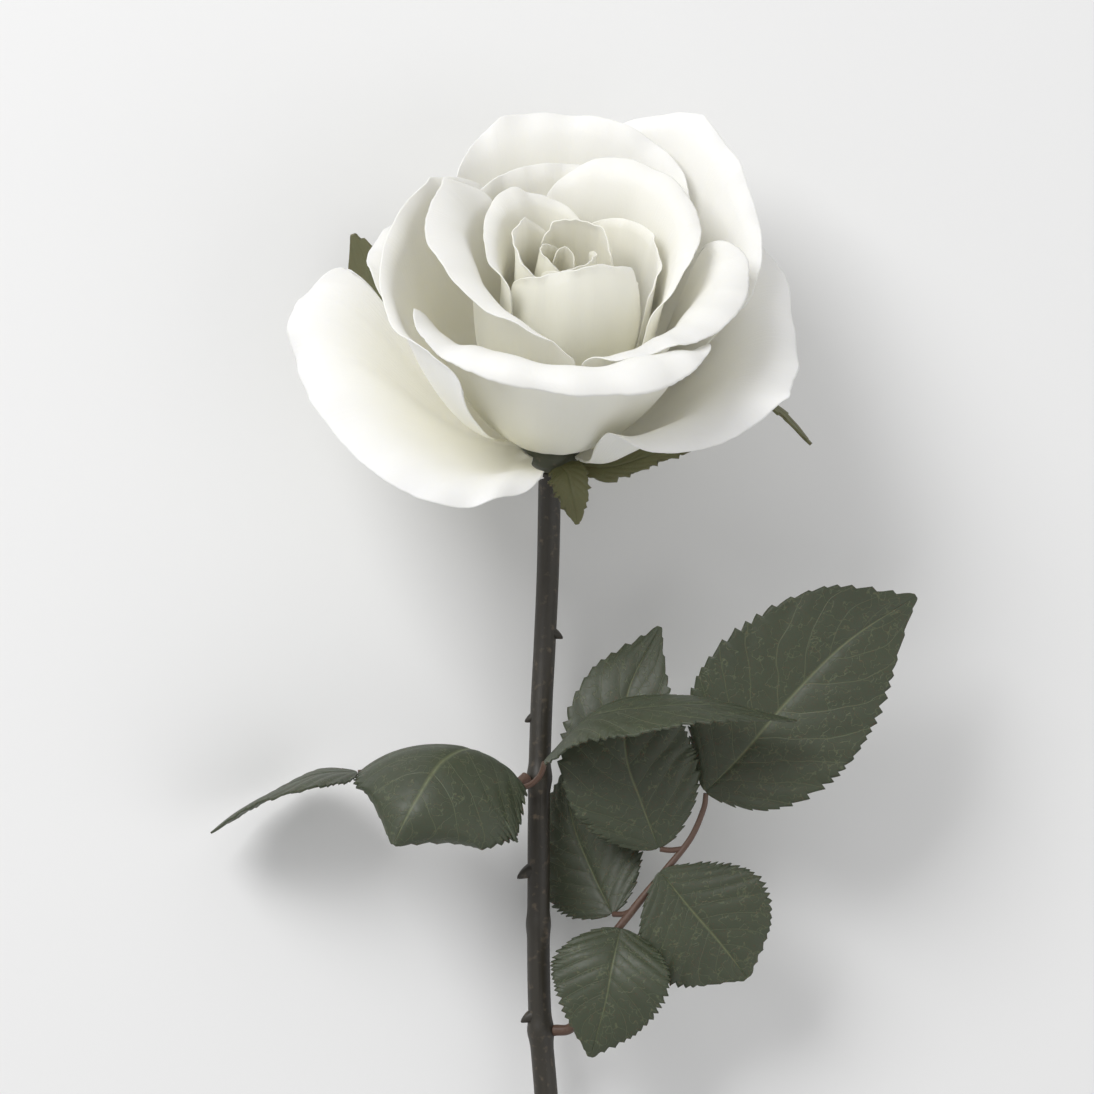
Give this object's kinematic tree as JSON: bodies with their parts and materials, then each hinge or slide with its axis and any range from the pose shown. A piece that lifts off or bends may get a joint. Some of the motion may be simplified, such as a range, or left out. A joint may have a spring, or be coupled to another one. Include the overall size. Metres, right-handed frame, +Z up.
{
  "type": "cut rose",
  "caption": "Cut garden rose lying on its back: an open white double bloom on a thorny stem with toothed compound leaves.",
  "frame": {"origin": "centre of the bounding box on the surface that the rose lies on", "axes": "+Y along the stem towards the bloom, +Z up out of that surface, +X to the right seen from above with the bloom away from the viewer"},
  "size_m": [0.1562, 0.319, 0.0879],
  "materials": {
    "petal": "satin, white with a cream heart",
    "leaf": "satin, dark grey green",
    "sepal": "matt, olive green",
    "stem": "satin, dark brown green bark",
    "hip": "satin, dark green",
    "leaf_stalk": "satin, red brown"
  },
  "bodies": {
    "root": {"heart_petal_1": "petal", "heart_petal_2": "petal", "heart_petal_3": "petal", "heart_petal_4": "petal", "bud_petal_back": "petal", "bud_petal_left": "petal", "bud_petal_front": "petal", "inner_petal_left": "petal", "inner_petal_right": "petal", "cup_petal_right": "petal", "cup_petal_left": "petal", "cup_petal_front_right": "petal", "cup_petal_back": "petal", "cup_petal_front": "petal", "cup_petal_far_left": "petal", "outer_petal_back": "petal", "outer_petal_back_right": "petal", "outer_petal_back_left": "petal", "guard_petal_left": "petal", "guard_petal_right": "petal", "guard_petal_back": "petal", "leaflet_tip": "leaf", "leaflet_right_upper": "leaf", "leaflet_right_lower": "leaf", "leaflet_left_upper": "leaf", "leaflet_left_lower": "leaf", "side_leaflet_front": "leaf", "side_leaflet_far": "leaf", "side_leaflet_right": "leaf", "sepal_front": "sepal", "sepal_right": "sepal", "sepal_front_right": "sepal", "sepal_left": "sepal", "sepal_back": "sepal", "stem": "stem", "hip": "hip", "leaf_rachis": "leaf_stalk", "side_rachis": "leaf_stalk"}
  },
  "joints": []
}
